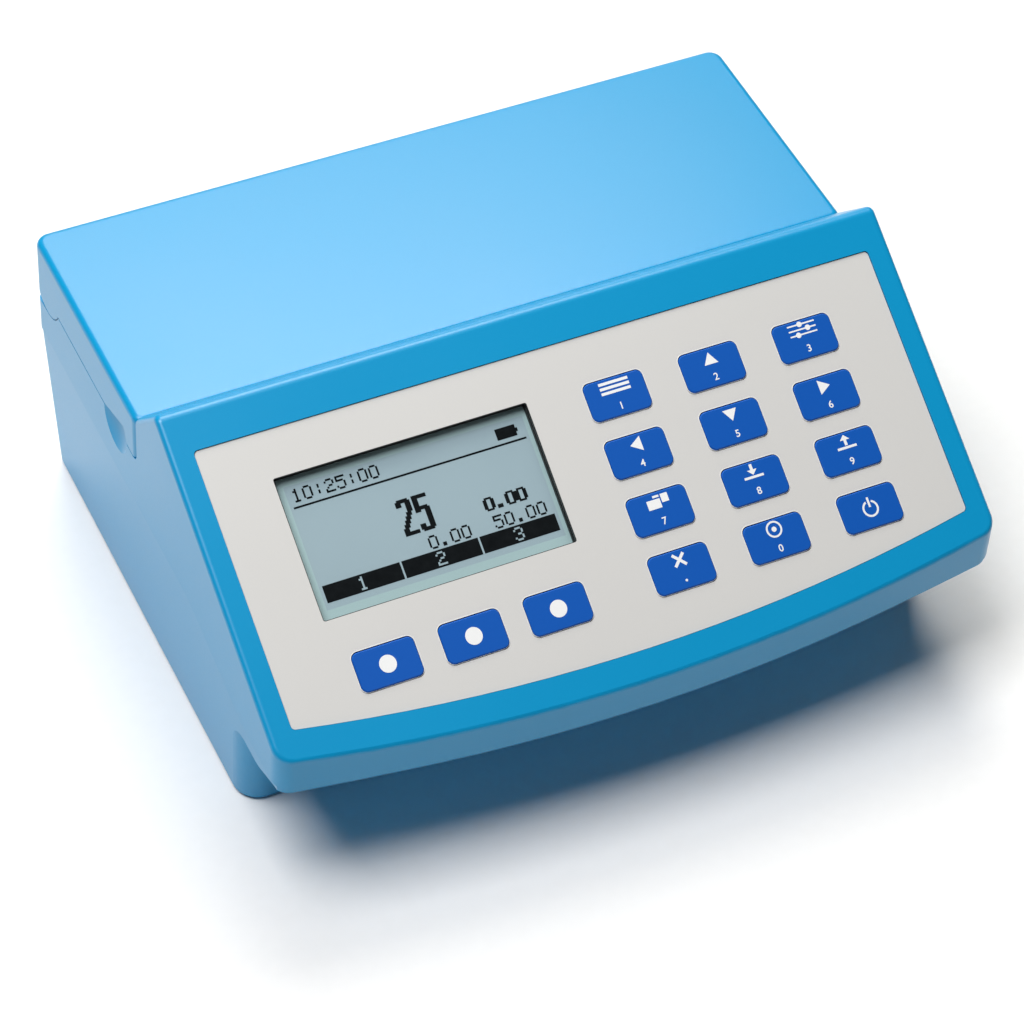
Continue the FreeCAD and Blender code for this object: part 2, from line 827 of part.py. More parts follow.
def make_lower_housing():
    """Drafted tub with the chin that closes the overhang from below."""
    top = parting_level + tongue_height
    tub = tub_loft(floor_level, top, 0)
    hollow = tub_loft(floor_level + wall, top + wall, wall)
    forward = tub_front_top - front + 3
    chin = tub_loft(floor_level, top, 0, forward).common(housing_plan(tub_top_inset, 0, reach))
    chin = chin.common(chin_room(0))
    room = tub_loft(floor_level + wall, top + wall, wall, forward + wall)
    room = room.common(housing_plan(tub_top_inset + wall, 0, reach)).common(chin_room(wall))
    outer = tub.fuse(chin)
    lip_inset = wall + housing_gap
    inside = housing_plan(lip_inset, 0, reach)
    shelf = inside.common(chin_room(0)).cut(chin_room(wall)).cut(below_parting(0))
    shelf = shelf.common(box(-half, half, front, front + chin_low_setback, 0, ridge_height / 2))
    tongue = inside.cut(housing_plan(lip_inset + tongue_thickness, 0, reach))
    root = tongue.common(outer).common(below_parting(0)).cut(below_parting(-wall))
    tongue = tongue.common(below_parting(tongue_height)).cut(below_parting(0))
    posts = []
    for x, y in screw_places():
        posts.append(rod(screw_post_radius, V(x, y, floor_level), V(x, y, parting_level)))
    for x, y, z in board_posts():
        posts.append(rod(post_radius, V(x, y, floor_level), V(x, y, z)))
    for x in (-rib_x, rib_x):
        posts.append(box(x - rib_thickness / 2, x + rib_thickness / 2, tub_front_foot,
                         well_y - block_half_y - block_foot, floor_level, floor_level + wall + rib_height))
    walls = outer.cut(hollow.fuse(room)).multiFuse(posts).common(below_parting(0))
    walls = walls.multiFuse([shelf, tongue, root])
    cuts = []
    for x, y in screw_places():
        cuts.append(rod(screw_well_radius, V(x, y, 0), V(x, y, screw_seat)))
        cuts.append(rod(screw_radius + 0.1, V(x, y, 0), V(x, y, reach)))
    for x, y in foot_places():
        cuts.append(rod(foot_radius + fit_gap, V(x, y, 0), V(x, y, foot_thickness)))
    for x, y, z in board_posts():
        cuts.append(rod(board_screw_radius, V(x, y, floor_level + wall), V(x, y, z + 1)))
    cuts.append(plate_window(plate_gap))
    return walls.cut(Part.makeCompound(cuts)).removeSplitter()


def plate_window(grow):
    """Block through the back wall that takes in all three sockets, grown all round."""
    margin = plate_margin + grow
    block = box(usb_x - usb_size[0] / 2 - margin, jack_x + jack_size[0] / 2 + margin,
                rear - rear_draft - 2 * wall, rear + 1,
                socket_base - margin, socket_base + jack_size[2] + margin)
    corners = [e for e in block.Edges if abs(e.tangentAt(e.FirstParameter).y) > 0.9]
    return block.makeFillet(plate_corner_round + grow, corners)


def back_layer(outer, inner):
    """Layer of the lower housing's back wall between two depths."""
    low, high = floor_level, parting_level
    points = [(rear_wall_y(low) - outer, low), (rear_wall_y(high) - outer, high),
              (rear_wall_y(high) - inner, high), (rear_wall_y(low) - inner, low)]
    wire = Part.makePolygon([V(-half, y, z) for y, z in points + points[:1]])
    return Part.Face(wire).extrude(V(width, 0, 0))


def make_socket_plate():
    """Insert that closes the back wall round the sockets, with a flange behind the wall."""
    seat = wall + fit_gap
    face = back_layer(0, seat + plate_flange_thickness).common(plate_window(0))
    flange = back_layer(seat, seat + plate_flange_thickness).common(plate_window(plate_flange_width))
    plate = face.fuse(flange)
    cuts = [socket_opening(usb_x, usb_size), socket_opening(micro_x, micro_size),
            rod(jack_nose_radius + moving_gap, V(jack_x, rear - jack_size[1], jack_axis),
                V(jack_x, rear, jack_axis))]
    return plate.cut(Part.makeCompound(cuts)).removeSplitter()


socket_base = socket_board_level + board_thickness
jack_axis = socket_base + jack_size[2] / 2


def rear_wall_y(z):
    """Outer face of the lower housing's back at a height."""
    rise = (z - floor_level) / (parting_level - floor_level)
    return rear - tub_top_inset - rear_draft * (1 - rise)


def socket_opening(x, size):
    margin = moving_gap
    return box(x - size[0] / 2 - margin, x + size[0] / 2 + margin, rear - 10, rear + 1,
               socket_base - margin, socket_base + size[2] + margin)


def foot_places():
    return [(x, y) for x in (-foot_x, foot_x) for y in (foot_front, foot_rear)]


def main_post_places():
    x, y = main_board_centre
    dx, dy = main_board_size[0] / 2 - board_hole_margin, main_board_size[1] / 2 - board_hole_margin
    return [(x + sx * dx, y + sy * dy) for sx in (-1, 1) for sy in (-1, 1)]


def socket_post_places():
    y = socket_board_back - socket_board_size[1] + board_hole_margin
    dx = socket_board_size[0] / 2 - socket_post_margin
    return [(socket_board_x - dx, y), (socket_board_x + dx, y)]


def block_post_places():
    dx = block_half_x + block_flange_side / 2
    dy = block_half_y - block_flange_end / 2
    return [(sx * dx, well_y + sy * dy) for sx in (-1, 1) for sy in (-1, 1)]


def board_posts():
    posts = [(x, y, main_board_level) for x, y in main_post_places()]
    posts += [(x, y, socket_board_level) for x, y in socket_post_places()]
    posts += [(x, y, block_foot) for x, y in block_post_places()]
    return posts


def make_main_board():
    x, y = main_board_centre
    dx, dy = main_board_size[0] / 2, main_board_size[1] / 2
    board = box(x - dx, x + dx, y - dy, y + dy, main_board_level, main_board_level + board_thickness)
    holes = [rod(board_screw_radius, V(a, b, 0), V(a, b, reach)) for a, b in main_post_places()]
    return board.cut(Part.makeCompound(holes))


def chip(x, y, size):
    """Component of this size on the main board, centred at a place."""
    level = main_board_level + board_thickness
    return box(x - size[0] / 2, x + size[0] / 2, y - size[1] / 2, y + size[1] / 2, level, level + size[2])


def make_main_chips():
    level = main_board_level + board_thickness
    x, y = main_board_centre
    chips = [chip(x + processor_place[0], y + processor_place[1],
                  (processor_size, processor_size, chip_height))]
    for i in range(small_chip_count):
        chips.append(chip(x + small_chip_first + i * small_chip_pitch, y + small_chip_y, small_chip_size))
    for i in range(capacitor_count):
        a = x + capacitor_first + i * capacitor_pitch
        b = y + capacitor_y
        chips.append(rod(capacitor_radius, V(a, b, level), V(a, b, level + capacitor_height)))
    return Part.makeCompound(chips)


def make_beeper():
    level = main_board_level + board_thickness
    x, y = main_board_centre[0] + beeper_place[0], main_board_centre[1] + beeper_place[1]
    top = level + beeper_height
    body = rod(beeper_radius, V(x, y, level), V(x, y, top))
    return body.cut(rod(beeper_mouth_radius, V(x, y, top - beeper_mouth_depth), V(x, y, top + 1)))


def make_headers():
    """The two connectors that the ribbon runs between."""
    lift = -board_depth - board_thickness
    length = ribbon_width + 2 * header_end
    upper = rounded_pad(ribbon_x, header_down, length, header_depth, 0, lift - header_height, lift)
    level = main_board_level + board_thickness
    y = header_place()
    lower = box(ribbon_x - length / 2, ribbon_x + length / 2, y - header_depth / 2,
                y + header_depth / 2, level, level + header_height)
    return Part.makeCompound([upper, lower])


def header_place():
    return main_board_centre[1] - header_from_board_centre


def make_ribbon():
    """Flat cable from the keypad board down to the main board, in one soft bend each way."""
    top = on_panel(0, header_down, -board_depth - board_thickness - header_height)
    away = top - outward * ribbon_start
    low_y = header_place()
    low_z = main_board_level + board_thickness + header_height
    stand_z = low_z + ribbon_stand
    t = ribbon_thickness
    path = [(top.y, top.z, 0), (away.y, away.z, ribbon_first_bend),
            (low_y, stand_z, ribbon_second_bend), (low_y, low_z, 0),
            (low_y + t, low_z, 0), (low_y + t, stand_z, ribbon_second_bend),
            (away.y + t, away.z - t, ribbon_first_bend),
            (top.y + t, top.z + t * panel_sin / panel_cos, 0)]
    ribbon = across(path, ribbon_width / 2)
    ribbon.translate(V(ribbon_x, 0, 0))
    return ribbon


def make_optical_block():
    """Black block bored for the cuvette holder and the light path across it."""
    y0, y1 = well_y - block_half_y, well_y + block_half_y
    block = box(-block_half_x, block_half_x, y0, y1, block_foot, block_top)
    flange_x = block_half_x + block_flange_side
    flange = box(-flange_x, flange_x, y0 - block_flange_end, y1 + block_flange_end, block_foot,
                 block_foot + block_flange_thickness)
    block = block.fuse(flange)
    half_channel = channel_size / 2
    room = -block_half_x + lamp_room[0]
    cuts = [rod(holder_radius + fit_gap, V(0, well_y, holder_floor - holder_base), V(0, well_y, reach)),
            box(-block_half_x - 1, room, well_y - lamp_room[1] / 2, well_y + lamp_room[1] / 2,
                light_height - lamp_room[2] / 2, light_height + lamp_room[2] / 2),
            box(room - 1, 0, well_y - half_channel, well_y + half_channel,
                light_height - half_channel, light_height + half_channel),
            rod(detector_radius + fit_gap, V(0, well_y, light_height),
                V(block_half_x + 1, well_y, light_height)),
            rod(detector_radius + fit_gap, V(-splitter_distance, well_y, light_height),
                V(-splitter_distance, y1 + 1, light_height))]
    for x, y in block_post_places():
        cuts.append(rod(board_screw_radius, V(x, y, 0), V(x, y, block_foot + 2 * block_flange_thickness)))
    return block.cut(Part.makeCompound(cuts)).removeSplitter()


def make_cuvette_holder():
    """Flanged sleeve that the cuvette drops into, with a light port on each side."""
    foot = V(0, well_y, holder_floor - holder_base)
    flange_low = deck_level + fit_gap
    flange_top = flange_low + holder_flange_thickness
    sleeve = rod(holder_radius, foot, V(0, well_y, flange_top))
    flange = Part.makeCone(holder_flange_radius, holder_flange_radius - flange_chamfer,
                           holder_flange_thickness, V(0, well_y, flange_low))
    bore = rod(cuvette_bore, V(0, well_y, holder_floor), V(0, well_y, reach))
    mouth = Part.makeCone(cuvette_bore, cuvette_bore + mouth_chamfer, mouth_chamfer,
                          V(0, well_y, flange_top - mouth_chamfer))
    ports = rod(light_port_radius, V(-half, well_y, light_height), V(half, well_y, light_height))
    mark = prism([(-index_notch, well_y - holder_flange_radius - 1, 0),
                  (index_notch, well_y - holder_flange_radius - 1, 0),
                  (0, well_y - cuvette_bore - index_notch_end, 0)], plan, V(0, 0, wall),
                 V(0, 0, flange_top - index_notch_depth))
    cuts = Part.makeCompound([bore, mouth, ports, mark])
    return sleeve.fuse(flange).cut(cuts).removeSplitter()


lamp_board_x = -block_half_x + 2 * fit_gap


def make_lamp_board():
    dy = lamp_room[1] / 2 - fit_gap
    dz = lamp_room[2] / 2 - fit_gap
    return box(lamp_board_x, lamp_board_x + board_thickness, well_y - dy, well_y + dy,
               light_height - dz, light_height + dz)


def emitter_rows():
    first = well_y - (emitter_count - 1) * emitter_pitch / 2
    return [first + i * emitter_pitch for i in range(emitter_count)]


def make_emitters():
    lamps = []
    base = lamp_board_x + board_thickness
    for y in emitter_rows():
        stop = V(base + emitter_length - emitter_radius, y, light_height)
        lamps.append(rod(emitter_radius, V(base, y, light_height), stop).fuse(
            Part.makeSphere(emitter_radius, stop)).removeSplitter())
    return Part.makeCompound(lamps)


filter_x = -block_half_x + lamp_room[0] - filter_setback


def make_filter_carrier():
    dy = lamp_room[1] / 2 - fit_gap
    dz = lamp_room[2] / 2 - fit_gap
    stop = filter_x + filter_thickness + filter_lip
    carrier = box(filter_x - filter_lip, stop, well_y - dy, well_y + dy, light_height - dz,
                  light_height + dz)
    hole = filter_size / 2 + fit_gap / 2
    holes = [box(filter_x, stop, y - hole, y + hole, light_height - hole, light_height + hole)
             for y in emitter_rows()]
    views = [rod(filter_view_radius, V(filter_x - filter_lip, y, light_height), V(stop, y, light_height))
             for y in emitter_rows()]
    return carrier.cut(Part.makeCompound(holes + views))


def make_filters():
    h = filter_size / 2
    return Part.makeCompound([box(filter_x, filter_x + filter_thickness, y - h, y + h,
                                  light_height - h, light_height + h) for y in emitter_rows()])


def make_lens():
    """Flat on the lamp side, domed towards the cuvette."""
    radius = channel_size / 2 - fit_gap
    ball = (radius ** 2 + lens_sagitta ** 2) / (2 * lens_sagitta)
    x = -lens_distance
    body = rod(radius, V(x, well_y, light_height), V(x + lens_rim + lens_sagitta, well_y, light_height))
    centre = V(x + lens_rim + lens_sagitta - ball, well_y, light_height)
    return body.common(Part.makeSphere(ball, centre))


def make_splitter():
    h = channel_size / 2 - fit_gap
    plate = box(-splitter_thickness / 2, splitter_thickness / 2, -splitter_width / 2,
                splitter_width / 2, -h, h)
    plate.rotate(V(0, 0, 0), V(0, 0, 1), -45)
    plate.translate(V(-splitter_distance, well_y, light_height))
    return plate


def make_reference_detector():
    start = well_y + channel_size / 2 + detector_gap
    return rod(detector_radius, V(-splitter_distance, start, light_height),
               V(-splitter_distance, start + detector_length, light_height))


def make_measuring_detector():
    start = holder_radius + fit_gap + detector_gap
    return rod(detector_radius, V(start, well_y, light_height),
               V(start + detector_length, well_y, light_height))


def make_block_screws():
    return Part.makeCompound([
        make_board_screw(V(x, y, block_foot + block_flange_thickness), V(0, 0, -1), board_screw_length)
        for x, y in block_post_places()])


def make_main_screws():
    return Part.makeCompound([
        make_board_screw(V(x, y, main_board_level + board_thickness), V(0, 0, -1), board_screw_length)
        for x, y in main_post_places()])


def make_socket_screws():
    return Part.makeCompound([
        make_board_screw(V(x, y, socket_board_level + board_thickness), V(0, 0, -1), board_screw_length)
        for x, y in socket_post_places()])


cell_level = floor_level + wall + cradle_wall + cell_radius


def make_battery():
    """Two cells side by side in one wrap."""
    y0, y1 = battery_y - cell_length / 2, battery_y + cell_length / 2
    left = battery_x - cell_radius
    right = battery_x + cell_radius
    cells = [rod(cell_radius, V(x, y0, cell_level), V(x, y1, cell_level)) for x in (left, right)]
    web_half = cell_radius * cell_web_share
    web = box(left, right, y0, y1, cell_level - web_half, cell_level + web_half)
    return fuse(cells + [web])


def make_cradle():
    """Tray with end stops, glued to the floor."""
    x0 = battery_x - 2 * cell_radius - fit_gap - cradle_wall
    x1 = battery_x + 2 * cell_radius + fit_gap + cradle_wall
    y0 = battery_y - cell_length / 2 - fit_gap - cradle_wall
    y1 = battery_y + cell_length / 2 + fit_gap + cradle_wall
    low = floor_level + wall
    tray = box(x0, x1, y0, y1, low, cell_level + cradle_end_rise)
    hollow = box(x0 + cradle_wall, x1 - cradle_wall, y0 + cradle_wall, y1 - cradle_wall,
                 low + cradle_wall, reach)
    gap = box(x0 - 1, x1 + 1, y0 + cradle_end, y1 - cradle_end, cell_level - cradle_side_drop, reach)
    return tray.cut(hollow).cut(gap)


def make_socket_board():
    dx = socket_board_size[0] / 2
    board = box(socket_board_x - dx, socket_board_x + dx, socket_board_back - socket_board_size[1],
                socket_board_back, socket_board_level, socket_base)
    holes = [rod(board_screw_radius, V(x, y, 0), V(x, y, reach)) for x, y in socket_post_places()]
    return board.cut(Part.makeCompound(holes))


def socket(x, size, sheet, tongue):
    """Sheet metal socket, open at its mouth in the back wall, with its contact tongue.

    The tongue is given as its width, its height over the board and its thickness."""
    mouth = rear_wall_y(socket_base) - socket_setback
    root = mouth - size[1]
    outer = box(x - size[0] / 2, x + size[0] / 2, root, mouth, socket_base, socket_base + size[2])
    inner = box(x - size[0] / 2 + sheet, x + size[0] / 2 - sheet, root + 2 * tongue_root, mouth + 1,
                socket_base + sheet, socket_base + size[2] - sheet)
    low = socket_base + tongue[1]
    blade = box(x - tongue[0] / 2, x + tongue[0] / 2, root + tongue_root, mouth - tongue_setback,
                low, low + tongue[2])
    return outer.cut(inner).fuse(blade).removeSplitter()


def make_usb():
    return socket(usb_x, usb_size, usb_sheet, usb_tongue)


def make_micro():
    return socket(micro_x, micro_size, micro_sheet, micro_tongue)


def make_jack():
    back = rear_wall_y(jack_axis) - socket_setback
    y1 = back - jack_nose_length
    body = box(jack_x - jack_size[0] / 2, jack_x + jack_size[0] / 2, y1 - jack_size[1], y1,
               socket_base, socket_base + jack_size[2])
    body = body.fuse(rod(jack_nose_radius, V(jack_x, y1 - 1, jack_axis), V(jack_x, back, jack_axis)))
    bore = rod(jack_bore_radius, V(jack_x, back - jack_bore_length, jack_axis),
               V(jack_x, back + 1, jack_axis))
    return body.cut(bore).removeSplitter()


def make_feet():
    feet = []
    for x, y in foot_places():
        toe = Part.makeCone(foot_radius - foot_chamfer, foot_radius, foot_chamfer, V(x, y, 0))
        pad = rod(foot_radius, V(x, y, foot_chamfer), V(x, y, foot_thickness))
        feet.append(toe.fuse(pad).removeSplitter())
    return Part.makeCompound(feet)


def make_housing_screws():
    return Part.makeCompound([
        make_screw(V(x, y, screw_seat), V(0, 0, 1), screw_length, screw_radius, screw_head_radius,
                   screw_head_height) for x, y in screw_places()])


def all_parts():
    parts = {
        "upper_housing": make_upper_housing(),
        "lower_housing": make_lower_housing(),
        "rubber_feet": make_feet(),
        "housing_screws": make_housing_screws(),
        "hinge_pins": make_hinge_pins(),
        "lid": make_lid(),
        "lid_light_seal": make_lid_seal(),
        "keypad_label": make_label(),
        "display_window": make_window(),
        "display_glass": make_glass(),
        "display_backlight": make_backlight(),
        "display_frame": make_display_frame(),
        "keypad_board": make_keypad_board(),
        "key_domes": make_domes(),
        "keypad_board_screws": make_keypad_screws(),
        "ribbon_headers": make_headers(),
        "ribbon_cable": make_ribbon(),
        "main_board": make_main_board(),
        "main_board_chips": make_main_chips(),
        "main_board_screws": make_main_screws(),
        "beeper": make_beeper(),
        "optical_block": make_optical_block(),
        "optical_block_screws": make_block_screws(),
        "cuvette_holder": make_cuvette_holder(),
        "lamp_board": make_lamp_board(),
        "light_emitters": make_emitters(),
        "filter_carrier": make_filter_carrier(),
        "narrow_band_filters": make_filters(),
        "focusing_lens": make_lens(),
        "beam_splitter": make_splitter(),
        "reference_detector": make_reference_detector(),
        "measuring_detector": make_measuring_detector(),
        "battery_cradle": make_cradle(),
        "battery_pack": make_battery(),
        "socket_board": make_socket_board(),
        "socket_board_screws": make_socket_screws(),
        "socket_plate": make_socket_plate(),
        "usb_a_socket": make_usb(),
        "micro_usb_socket": make_micro(),
        "electrode_jack": make_jack(),
    }
    for name, a, b in key_places():
        parts[name] = make_key(a, b)
    return parts


os.makedirs("parts", exist_ok=True)
for node, shape in all_parts().items():
    shape.exportStep("parts/%s.step" % node)
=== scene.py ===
import math

import bmesh
import bpy
from mathutils import Matrix, Vector


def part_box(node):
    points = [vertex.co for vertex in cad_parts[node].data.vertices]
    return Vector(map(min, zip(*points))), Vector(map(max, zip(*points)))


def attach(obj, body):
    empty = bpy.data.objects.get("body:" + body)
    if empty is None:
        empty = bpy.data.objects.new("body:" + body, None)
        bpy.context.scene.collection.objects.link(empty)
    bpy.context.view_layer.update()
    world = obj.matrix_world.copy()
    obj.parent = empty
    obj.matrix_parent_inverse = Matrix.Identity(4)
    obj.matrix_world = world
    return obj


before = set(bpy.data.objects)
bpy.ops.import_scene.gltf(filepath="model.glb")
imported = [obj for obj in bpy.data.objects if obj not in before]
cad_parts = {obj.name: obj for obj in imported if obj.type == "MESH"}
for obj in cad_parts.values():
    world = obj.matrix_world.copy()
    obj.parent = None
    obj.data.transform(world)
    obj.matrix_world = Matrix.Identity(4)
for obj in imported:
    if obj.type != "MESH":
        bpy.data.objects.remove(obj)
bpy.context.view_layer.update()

# ---------------------------------------------------------------- the studio
# A white table top under four softboxes: at the left, above, and high and low behind.
# The table top throws the light back on the sides, so only the overhang at the front is dark.
scene = bpy.context.scene
scene.view_settings.view_transform = "Standard"


class Tap:
    """A socket that can stand in a sum. Each sum adds its Math node."""

    def __init__(self, tree, socket):
        self.tree, self.socket = tree, socket

    def sum(self, operation, first, second):
        node = self.tree.nodes.new("ShaderNodeMath")
        node.operation = operation
        for socket, value in zip(node.inputs, (first, second)):
            feed(socket, value)
        return Tap(self.tree, node.outputs[0])

    def __add__(self, other):
        return self.sum("ADD", self, other)

    def __sub__(self, other):
        return self.sum("SUBTRACT", self, other)

    def __rsub__(self, other):
        return self.sum("SUBTRACT", other, self)

    def __mul__(self, other):
        return self.sum("MULTIPLY", self, other)

    def __gt__(self, other):
        return self.sum("GREATER_THAN", self, other)

    __radd__ = __add__
    __rmul__ = __mul__

    def __abs__(self):
        return self.sum("ABSOLUTE", self, 0.0)

    def or_more(self, other):
        """The greater of the two."""
        return self.sum("MAXIMUM", self, other)


def feed(socket, value):
    """Sets a socket, or links it where the value is a tap."""
    if isinstance(value, Tap):
        value.tree.links.new(value.socket, socket)
    elif isinstance(value, tuple) and len(value) == 3 and len(socket.default_value) == 4:
        socket.default_value = value + (1.0,)
    else:
        socket.default_value = value


class Finish:
    """One material, painted on the instrument in metres of its own space."""

    def __init__(self, name, **sockets):
        self.material = bpy.data.materials.new(name)
        self.material.use_nodes = True
        self.tree = self.material.node_tree
        self.shader = self.tree.nodes["Principled BSDF"]
        self.place = self.node("TexCoord", out="Object")
        self.set(**sockets)

    def node(self, kind, settings=None, out=0, **sockets):
        """Adds a shader node and gives the tap of one of its outputs."""
        node = self.tree.nodes.new("ShaderNode" + kind)
        for name, value in (settings or {}).items():
            setattr(node, name, value)
        for name, value in sockets.items():
            feed(node.inputs[name.replace("_", " ")], value)
        return Tap(self.tree, node.outputs[out])

    def set(self, **sockets):
        """Sets or links inputs of the main shader."""
        for name, value in sockets.items():
            feed(self.shader.inputs[name.replace("_", " ")], value)

    def cloud(self, size, detail=2.0, stretch=(1, 1, 1)):
        """Soft noise about 0.5, with blotches of this size in metres."""
        scaled = self.node("Mapping", Vector=self.place, Scale=stretch)
        return self.node("TexNoise", out="Fac", Vector=scaled, Scale=1 / size, Detail=detail)

    def between(self, first, second, amount):
        """Colour part of the way from the first to the second."""
        first_colour, second_colour, mixed_colour = 6, 7, 2
        node = self.tree.nodes.new("ShaderNodeMix")
        node.data_type = "RGBA"
        feed(node.inputs["Factor"], amount)
        feed(node.inputs[first_colour], first)
        feed(node.inputs[second_colour], second)
        return Tap(self.tree, node.outputs[mixed_colour])

    def relief(self, height, depth, strength=1.0):
        """Bump of this depth in metres from a height of 0 to 1."""
        self.set(Normal=self.node("Bump", Height=height, Distance=depth, Strength=strength))


def new_object(name, data):
    """An object in the scene for a mesh, a text, a lamp or a lens."""
    thing = bpy.data.objects.new(name, data)
    scene.collection.objects.link(thing)
    return thing


table_reach, table_grain = 4.0, 0.004
table_white = Finish("table_white", Roughness=0.75)
table_white.set(Base_Color=table_white.between((0.9, 0.9, 0.9), (0.93, 0.93, 0.93),
                                               table_white.cloud(table_grain)))
table_mesh = bpy.data.meshes.new("table_top")
corners = [(-table_reach, -table_reach, 0), (table_reach, -table_reach, 0),
           (table_reach, table_reach, 0), (-table_reach, table_reach, 0)]
table_mesh.from_pydata(corners, [], [(0, 1, 2, 3)])
table_mesh.materials.append(table_white.material)
new_object("table_top", table_mesh)

light_aim = Vector((0, 0, 0.05))
clear_light, warm_gel = (1.0, 1.0, 1.0), (1.0, 0.96, 0.88)


def hang_softbox(name, place, size, radiance, tint):
    """A square softbox that faces the instrument."""
    lamp = bpy.data.lights.new(name, "AREA")
    lamp.shape = "SQUARE"
    lamp.size = size
    lamp.energy = radiance * size * size * math.pi
    lamp.color = tint
    holder = new_object(name, lamp)
    holder.location = place
    holder.rotation_euler = (light_aim - holder.location).to_track_quat("-Z", "Y").to_euler()


hang_softbox("softbox_left", (-0.48, 0.0, 1.25), 0.7, 8.9, clear_light)
hang_softbox("softbox_above", (-0.1, 0.06, 1.25), 0.7, 1.9, clear_light)
hang_softbox("softbox_behind", (0.24, 0.72, 1.15), 0.62, 8.7, warm_gel)
hang_softbox("softbox_low", (0.62, 1.62, 0.46), 0.7, 1.9, clear_light)

room_glow = 0.05
room = bpy.data.worlds.new("room")
room.use_nodes = True
backdrop = room.node_tree.nodes["Background"]
backdrop.inputs["Color"].default_value = (1, 1, 1, 1)
backdrop.inputs["Strength"].default_value = room_glow
scene.world = room

camera_lens = bpy.data.cameras.new("camera")
camera_lens.lens = 133.567
camera_lens.sensor_width = 36.0
camera_lens.clip_start = 0.01
camera = new_object("camera", camera_lens)
camera_place = Vector((-0.3338, -0.6208, 0.78506))
sight_right = Vector((0.90383, -0.424943, 0.050143)).normalized()
sight_up = Vector((0.28286, 0.681294, 0.675151)).normalized()
axes = Matrix((sight_right, sight_up, sight_right.cross(sight_up))).transposed()
camera.matrix_world = Matrix.Translation(camera_place) @ axes.to_4x4()
scene.camera = camera

# ------------------------------------------------------------- lower housing
# The tub that carries everything, injection moulded in sky blue ABS with a fine satin finish.
# Its front reaches out as a chin that closes the overhang of the panel from below.
def moulded(name, colour, roughness, shade=0.94, grain=0.0004, depth=0.000012, **sockets):
    """Moulded plastic: faint flow marks in the colour, and the fine grain of the mould."""
    flow_size, spark_gloss, flow_gloss = 0.045, 0.08, 0.04
    finish = Finish(name, **sockets)
    flow = finish.cloud(flow_size, 1.0)
    sparks = finish.cloud(grain, 1.0)
    smoothest = roughness - (spark_gloss + flow_gloss) / 2
    dull = tuple(c * shade for c in colour)
    finish.set(Base_Color=finish.between(dull, colour, flow * 0.6 + sparks * 0.4),
               Roughness=sparks * spark_gloss + flow * flow_gloss + smoothest)
    finish.relief(sparks, depth, 0.5)
    return finish


def dress(names, finish):
    """Gives CAD nodes their finish."""
    for name in names.split():
        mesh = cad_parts[name].data
        mesh.materials.clear()
        mesh.materials.append(finish.material)


sky_blue = moulded("sky_blue_shell", (0.0, 0.292, 0.586), 0.31, IOR=1.54)
dress("lower_housing", sky_blue)

# ------------------------------------------------------------ feet and screws
# Four discs of black nitrile rubber, pressed in round pockets under the tub.
# Four zinc plated screws close the housing from below, deep in their wells.
rubber = moulded("black_rubber", (0.02, 0.02, 0.021), 0.75, 0.7, 0.0008, 0.00004)
dress("rubber_feet", rubber)


def metal(name, colour, roughness, stretch=(1, 1, 1), grain=0.0006):
    """Plated metal with the fine streaks of its making."""
    tarnish_size, tarnish_shade, streak_gloss, streak_depth = 0.004, 0.82, 0.16, 0.000006
    finish = Finish(name, Metallic=1.0)
    streaks = finish.cloud(grain, 2.0, stretch)
    tarnish = finish.cloud(tarnish_size, 2.0)
    dull = tuple(c * tarnish_shade for c in colour)
    finish.set(Base_Color=finish.between(dull, colour, streaks * 0.5 + tarnish * 0.5),
               Roughness=streaks * streak_gloss + (roughness - streak_gloss / 2))
    finish.relief(streaks, streak_depth, 0.4)
    return finish


zinc = metal("zinc_plate", (0.62, 0.62, 0.6), 0.34)
dress("housing_screws hinge_pins", zinc)

# ----------------------------------------------------------------- main board
# Glass fibre board with green solder mask. Its chips are black epoxy and its screws are zinc
# plated. The beeper is a round black can with a hole in its face.
def board(name, colour):
    """Solder mask with the raised lines of copper tracks and their pads under it."""
    pad_reach, pad_sharpness, copper_depth = 0.2, 20, 0.00003
    finish = Finish(name, Roughness=0.32)
    tracks = finish.node("TexBrick", {"offset": 0.5}, out="Fac", Vector=finish.place,
                         Scale=160.0, Mortar_Size=0.035, Brick_Width=0.9, Row_Height=0.22)
    from_pad = finish.node("TexVoronoi", {"feature": "F1"}, out="Distance",
                           Vector=finish.place, Scale=240.0)
    pads = finish.node("Clamp", Value=(pad_reach - from_pad) * pad_sharpness)
    copper = finish.node("Clamp", Value=tracks + pads)
    pale = tuple(min(1.0, c * 1.9 + 0.02) for c in colour)
    finish.set(Base_Color=finish.between(colour, pale, copper))
    finish.relief(copper, copper_depth)
    return finish


green_board = board("green_solder_mask", (0.012, 0.13, 0.05))
chip_black = moulded("black_epoxy", (0.018, 0.018, 0.02), 0.5, 0.8, 0.0003, 0.00001)
dress("main_board lamp_board socket_board keypad_board", green_board)
dress("main_board_chips beeper", chip_black)
dress("main_board_screws optical_block_screws socket_board_screws keypad_board_screws", zinc)

